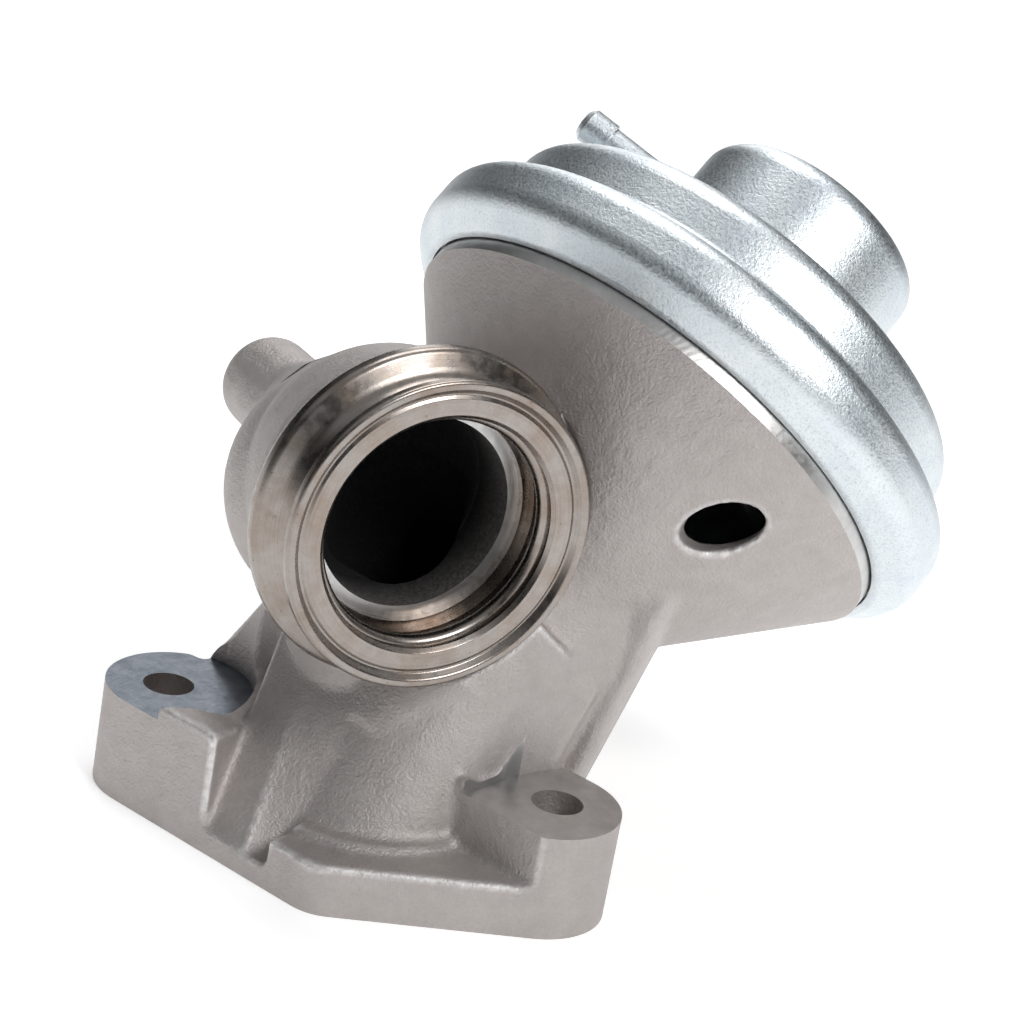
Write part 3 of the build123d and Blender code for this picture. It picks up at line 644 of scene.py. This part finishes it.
def cast_form():
    """The solid with its inside corners filled, its edges rounded and the painted highlight on them stored.
    """
    source = frame["nodes"]["valve_body"].data
    points = read(source.vertices, "co", 3) / MM
    source.calc_loop_triangles()
    triangles = read(source.loop_triangles, "vertices", 3, np.int32)
    points = with_stock(points, triangles)
    quads = np.empty((0, 4), dtype=np.int32)
    for amount in (FILLET_R, -FILLET_R - EDGE_R, EDGE_R):
        points, triangles, quads = offset_surface(points, triangles, quads, amount)
    body = mesh_object("body_casting", points, triangles.tolist() + quads.tolist())
    if signed_volume(points, quads) < 0:
        body.data.flip_normals()
    relax(body.data)
    mark_edge_highlight(body.data)
    return body


def machine(body):
    """Mills the lugs and the base, drills the bolt holes, bores the mouth and turns the rim."""
    low, _, high = CUTTER_ARC
    swept = arc_points(*CUTTER_ARC)
    swept += [(CUTTER_SWEEP, high[1]), (CUTTER_SWEEP, -CUTTER_SWEEP), (low[0], -CUTTER_SWEEP)]
    cut_away(body, prism("mill_right", swept, LUG_HEIGHT, LUG_HEIGHT + CUTTER_RISE))

    left = Matrix.Translation((-BOLT_SPACING / 2, 0, 0))
    right = Matrix.Translation((BOLT_SPACING / 2, 0, 0))
    spotface = [(0, LUG_HEIGHT), (SPOTFACE_R, LUG_HEIGHT), (SPOTFACE_R, SPOTFACE_TOP), (0, SPOTFACE_TOP)]
    cut_away(body, lathe("mill_left", left, spotface))
    hole = [(0, DRILL_LOW), (BOLT_HOLE_R, DRILL_LOW), (BOLT_HOLE_R, DRILL_HIGH), (0, DRILL_HIGH)]
    for axis in (left, right):
        cut_away(body, lathe("drill", axis, hole, DRILL_STEPS))
    base = [(0, BASE_CUT_LOW), (BASE_CUT_R, BASE_CUT_LOW), (BASE_CUT_R, 0), (0, 0)]
    cut_away(body, lathe("mill_base", level, base, DRILL_STEPS))

    mouth = [
        (0, -GAS_DEPTH),
        (GAS_R, -GAS_DEPTH),
        (GAS_R, SNOUT_FRONT),
        (SNOUT_R, SNOUT_FRONT),
        (SNOUT_R, CHAMBER_FRONT),
        (CLAMP_SPACE_R, CHAMBER_FRONT),
        (CLAMP_SPACE_R, FRONT_CUT_END),
        (0, FRONT_CUT_END),
    ]
    cut_away(body, lathe("bore_mouth", inlet, mouth))
    rim = [
        (RIM_R, RIM_CUT_START),
        (RIM_CUT_R, RIM_CUT_START),
        (RIM_CUT_R, RIM_CUT_END),
        (RIM_SHOULDER_R, RIM_CUT_END),
        (RIM_SHOULDER_R, RIM_SHOULDER),
        (RIM_R, RIM_SHOULDER),
    ]
    cut_away(body, lathe("turn_rim", actuator, rim, RIM_CUT_STEPS))


def mark_finishes(mesh):
    """Gives each machined face its own finish, and the inside of the passage and the drop their painted
    shade, found from where each face lies.
    """
    centre = read(mesh.polygons, "center", 3) / MM
    normal = read(mesh.polygons, "normal", 3)
    finish = np.full(len(centre), CAST, dtype=np.int32)

    lug_top = (np.abs(centre[:, 2] - LUG_HEIGHT) < TIGHT) & (normal[:, 2] > FLAT)
    # The left lug top takes the milled finish painted dark as a painted reflection; the right one keeps the
    # light milled tone
    finish[lug_top & (centre[:, 0] < 0)] = MILLED_PAINTED_REFLECTION
    finish[lug_top & (centre[:, 0] > 0)] = MILLED_LIGHT
    (cutter_x, cutter_y), cutter_r = circle_through(*CUTTER_ARC)
    away = centre[:, :2] - (cutter_x, cutter_y)
    reach = np.hypot(away[:, 0], away[:, 1])
    square_on = np.abs((away * normal[:, :2]).sum(1)) / reach > SQUARE_ON
    milled_wall = (np.abs(reach - cutter_r) < TIGHT) & square_on
    milled_wall &= (centre[:, 2] > LUG_HEIGHT) & (centre[:, 2] < LUG_HEIGHT + MILLED_BRIGHT)
    milled_wall &= (centre[:, 0] > CUTTER_ARC[0][0]) & (centre[:, 0] < MILLED_BRIGHT_X)
    finish[milled_wall] = FACED_BRIGHT

    station, radius = stations(centre, inlet)
    finish[(np.abs(station - SNOUT_FRONT) < NEAR) & (radius < SNOUT_R)] = FACED_BRIGHT
    chamber_face = (np.abs(station - CHAMBER_FRONT) < NEAR) & (radius > SNOUT_R)
    finish[chamber_face & (radius < CLAMP_SPACE_R)] = MILLED_LIGHT
    along, off_axis = stations(centre, actuator)
    finish[(along > RIM_START) & (off_axis > RIM_R - NEAR)] = MILLED_LIGHT
    finish[(centre[:, 2] < TIGHT) & (normal[:, 2] < -FLAT)] = MILLED_LIGHT

    # The gas passage and the drop take the painted shade
    passage = (radius < GAS_R + 0.2) & (station < SNOUT_FRONT - NEAR) & (station > -GAS_LENGTH)
    drop = np.hypot(centre[:, 0] - DROP_X, centre[:, 1] - DROP_Y) < DROP_R + 0.3
    drop &= (centre[:, 2] > DROP_LOW) & (centre[:, 2] < INLET_ORIGIN[2])
    finish[passage | drop] = PAINTED_SHADE_INSIDE
    mesh.polygons.foreach_set("material_index", finish)


body_casting = cast_form()
machine(body_casting)
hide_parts("valve_body")
body_casting.data.materials.clear()
for finish in (
    cast,
    # the milled finish painted dark blue-grey, a painted reflection, for the left lug top
    machined_look("milled_painted_reflection", (0.20, 0.22, 0.25), (0.13, 0.15, 0.18), 0.38),
    machined_look("milled_light", (0.62, 0.61, 0.60), (0.52, 0.51, 0.50), 0.34),
    machined_look("faced_bright", (0.62, 0.61, 0.60), (0.54, 0.53, 0.52), 0.36),
    # painted shade for the inside of the passage and the drop
    painted_shade_inside_look(),
):
    body_casting.data.materials.append(finish)
body_casting.data.shade_smooth()
body_casting.data.set_sharp_from_angle(angle=radians(32))
mark_finishes(body_casting.data)
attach(body_casting, "housing")


# Camera, lights and floor

camera = bpy.data.objects.new("camera", bpy.data.cameras.new("camera"))
camera.data.sensor_width = 36.0
camera.data.lens = CAMERA_LENS
camera.data.clip_start = CAMERA_NEAR
camera.location = Vector(CAMERA_PLACE) * MM
camera.rotation_euler = [radians(a) for a in CAMERA_TURN]
bpy.context.scene.collection.objects.link(camera)
bpy.context.scene.camera = camera


def panel(name, place, size, power):
    """A square soft light that looks at the part."""
    light = bpy.data.lights.new(name, "AREA")
    light.size = size
    light.energy = power
    made = bpy.data.objects.new(name, light)
    made.location = place
    made.rotation_euler = (Vector(LIGHT_TARGET) - Vector(place)).to_track_quat("-Z", "Y").to_euler()
    bpy.context.scene.collection.objects.link(made)


def studio_world():
    """Bright above and paler near the floor, with the dim band of a room between them."""
    world = bpy.data.worlds.new("studio")
    world.use_nodes = True
    tree = world.node_tree
    place = tree.nodes.new("ShaderNodeTexCoord")
    split = tree.nodes.new("ShaderNodeSeparateXYZ")
    band = tree.nodes.new("ShaderNodeValToRGB")
    tree.links.new(place.outputs["Generated"], split.inputs[0])
    tree.links.new(split.outputs["Z"], band.inputs["Fac"])
    band.color_ramp.elements[0].position = WORLD_BAND[0][0]
    band.color_ramp.elements[1].position = WORLD_BAND[-1][0]
    for position, _ in WORLD_BAND[1:-1]:
        band.color_ramp.elements.new(position)
    for element, (_, tone) in zip(band.color_ramp.elements, WORLD_BAND):
        element.color = (*(share * tone for share in WORLD_TINT), 1)
    tree.links.new(band.outputs["Color"], tree.nodes["Background"].inputs["Color"])
    tree.nodes["Background"].inputs["Strength"].default_value = WORLD_STRENGTH
    bpy.context.scene.world = world


def pale_floor():
    """A wide floor with a faint glow, which stages the part."""
    look = Look("pale_floor")
    tone = look.mix(look.noise(40.0), (0.93, 0.93, 0.93), (0.96, 0.96, 0.96))
    look.finish(tone, 0.9, look.bump(look.noise(5.0), 0.01), 0.0)
    look.shader.inputs["Emission Color"].default_value = (1, 1, 1, 1)
    look.shader.inputs["Emission Strength"].default_value = FLOOR_GLOW
    corners = [
        (-FLOOR_HALF, -FLOOR_HALF, 0),
        (FLOOR_HALF, -FLOOR_HALF, 0),
        (FLOOR_HALF, FLOOR_HALF, 0),
        (-FLOOR_HALF, FLOOR_HALF, 0),
    ]
    made = mesh_object("floor", corners, [(0, 1, 2, 3)])
    made.data.materials.append(look.material)
    return made


for name, (place, size, power) in PANELS.items():
    panel(name, place, size, power)
studio_world()
bpy.context.scene.view_settings.view_transform = "Standard"
floor = pale_floor()
